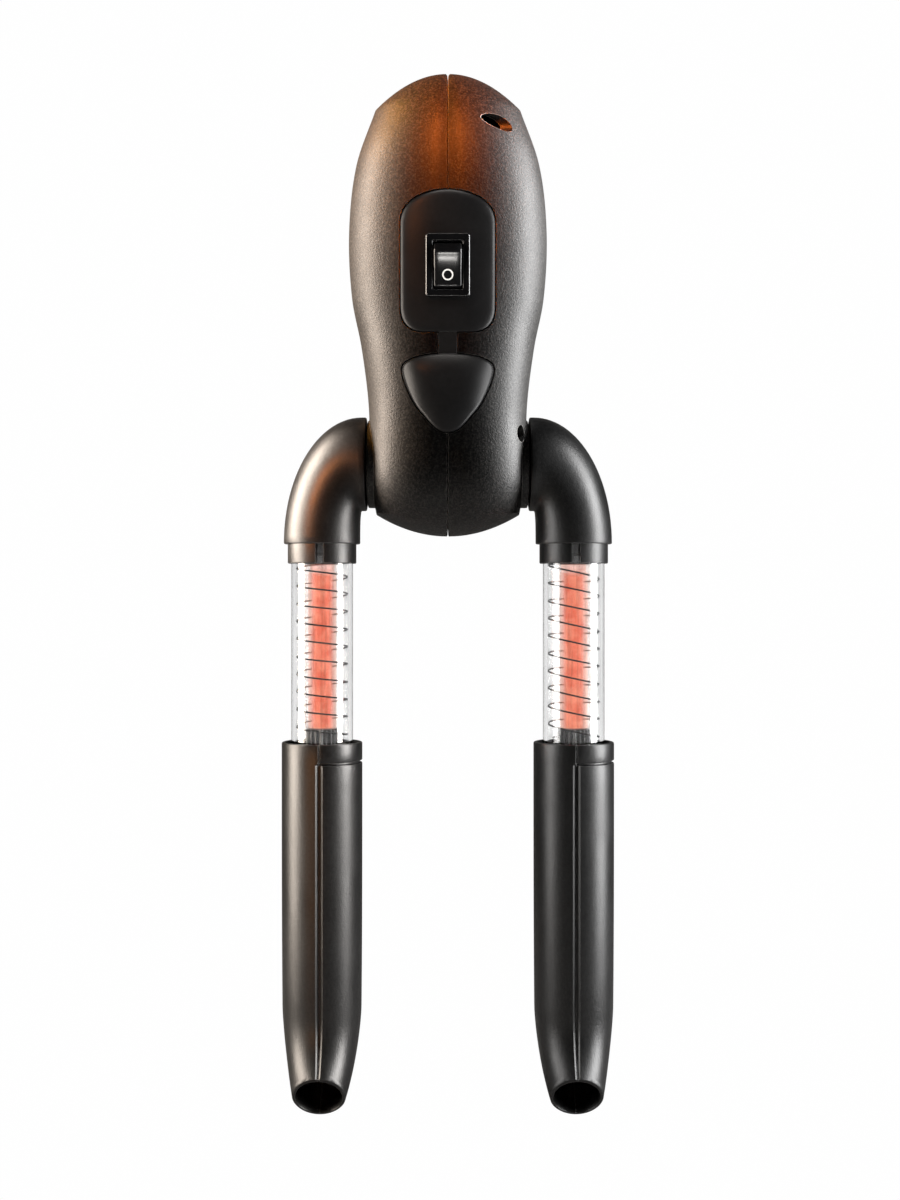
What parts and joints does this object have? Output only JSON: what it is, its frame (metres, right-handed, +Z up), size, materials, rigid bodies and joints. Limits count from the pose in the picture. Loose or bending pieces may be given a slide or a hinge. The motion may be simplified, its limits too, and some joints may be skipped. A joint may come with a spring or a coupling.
{
  "type": "boot dryer",
  "caption": "Boot dryer: oval fan-heater housing with a rocker switch, and swivelling elbow arms that carry glowing clear tubes and sliding nozzle sleeves.",
  "frame": {"origin": "centre of the bounding box, in the housing's two middle planes; the arms' swivel axis is 41.97 mm above it", "axes": "+Z up along the housing with the arms hanging down, -Y towards the switch side, +X along the swivel axis towards the arm on the right as seen from the switch side"},
  "size_m": [0.1102, 0.0654, 0.3425],
  "materials": {
    "textured_shell": "fine spark-eroded texture, satin charcoal",
    "satin_trim": "smooth satin black",
    "switch_plastic": "gloss black",
    "arm_plastic": "matte black, fine grain",
    "clear_plastic": "clear polycarbonate",
    "glowing_rod": "red-orange, glowing",
    "coil_wire": "dull oxidised wire",
    "screw_steel": "blackened steel",
    "terminal_brass": "plain brass",
    "heater_aluminium": "plain aluminium",
    "ceramic": "unglazed off-white",
    "board": "green solder resist",
    "fan_plastic": "plain black moulding",
    "foot_rubber": "soft black rubber",
    "lead_insulation": "brown-red silicone insulation"
  },
  "bodies": {
    "housing": {"left_shell": "textured_shell", "right_shell": "textured_shell", "front_trim": "satin_trim", "switch_bezel": "switch_plastic", "switch_terminal_top": "terminal_brass", "switch_terminal_bottom": "terminal_brass", "case_screw_1": "screw_steel", "case_screw_2": "screw_steel", "case_screw_3": "screw_steel", "case_screw_4": "screw_steel", "fan_frame": "fan_plastic", "heater_frame": "ceramic", "heater_element": "heater_aluminium", "thermal_cutout": "heater_aluminium", "circuit_board": "board", "board_capacitor": "fan_plastic", "board_relay": "fan_plastic", "intake_grille": "satin_trim", "power_inlet": "switch_plastic", "inlet_pin_left": "terminal_brass", "inlet_pin_right": "terminal_brass", "rear_foot_lower": "foot_rubber", "rear_foot_upper": "foot_rubber", "heater_lead_left": "lead_insulation", "heater_lead_right": "lead_insulation", "switch_lead_top": "lead_insulation", "switch_lead_bottom": "lead_insulation", "left_swivel_seal": "foot_rubber", "right_swivel_seal": "foot_rubber"},
    "rocker": {"switch_rocker": "switch_plastic"},
    "fan": {"fan_rotor": "fan_plastic"},
    "left_arm": {"left_elbow": "arm_plastic", "left_retaining_ring": "screw_steel", "left_clear_tube": "clear_plastic", "left_rod_holder": "ceramic", "left_heater_rod": "glowing_rod", "left_wire_coil": "coil_wire"},
    "left_bush": {"left_guide_bush": "arm_plastic"},
    "left_sleeve": {"left_sleeve_main": "arm_plastic", "left_sleeve_cover": "arm_plastic"},
    "right_arm": {"right_elbow": "arm_plastic", "right_retaining_ring": "screw_steel", "right_clear_tube": "clear_plastic", "right_rod_holder": "ceramic", "right_heater_rod": "glowing_rod", "right_wire_coil": "coil_wire"},
    "right_bush": {"right_guide_bush": "arm_plastic"},
    "right_sleeve": {"right_sleeve_main": "arm_plastic", "right_sleeve_cover": "arm_plastic"}
  },
  "joints": [
    {"name": "switch_toggle", "type": "hinge", "parent": "housing", "child": "rocker", "pos_m": [0, -0.0285, 0.10197], "axis": [-1, 0, 0], "range_deg": [0, 14]},
    {"name": "fan_spin", "type": "hinge", "parent": "housing", "child": "fan", "pos_m": [0, 0, 0.08347], "axis": [0, 0, 1], "continuous": true},
    {"name": "left_swivel", "type": "hinge", "parent": "housing", "child": "left_arm", "pos_m": [0, 0, 0.04197], "axis": [-1, 0, 0], "range_deg": [-90, 90]},
    {"name": "left_sleeve_turn", "type": "hinge", "parent": "left_arm", "child": "left_bush", "pos_m": [-0.04175, 0, -0.06603], "axis": [0, 0, 1], "range_deg": [-90, 90]},
    {"name": "left_sleeve_slide", "type": "slide", "parent": "left_bush", "child": "left_sleeve", "axis": [0, 0, 1], "range_m": [0, 0.055]},
    {"name": "right_swivel", "type": "hinge", "parent": "housing", "child": "right_arm", "pos_m": [0, 0, 0.04197], "axis": [-1, 0, 0], "range_deg": [-90, 90]},
    {"name": "right_sleeve_turn", "type": "hinge", "parent": "right_arm", "child": "right_bush", "pos_m": [0.04175, 0, -0.06603], "axis": [0, 0, 1], "range_deg": [-90, 90]},
    {"name": "right_sleeve_slide", "type": "slide", "parent": "right_bush", "child": "right_sleeve", "axis": [0, 0, 1], "range_m": [0, 0.055]}
  ]
}
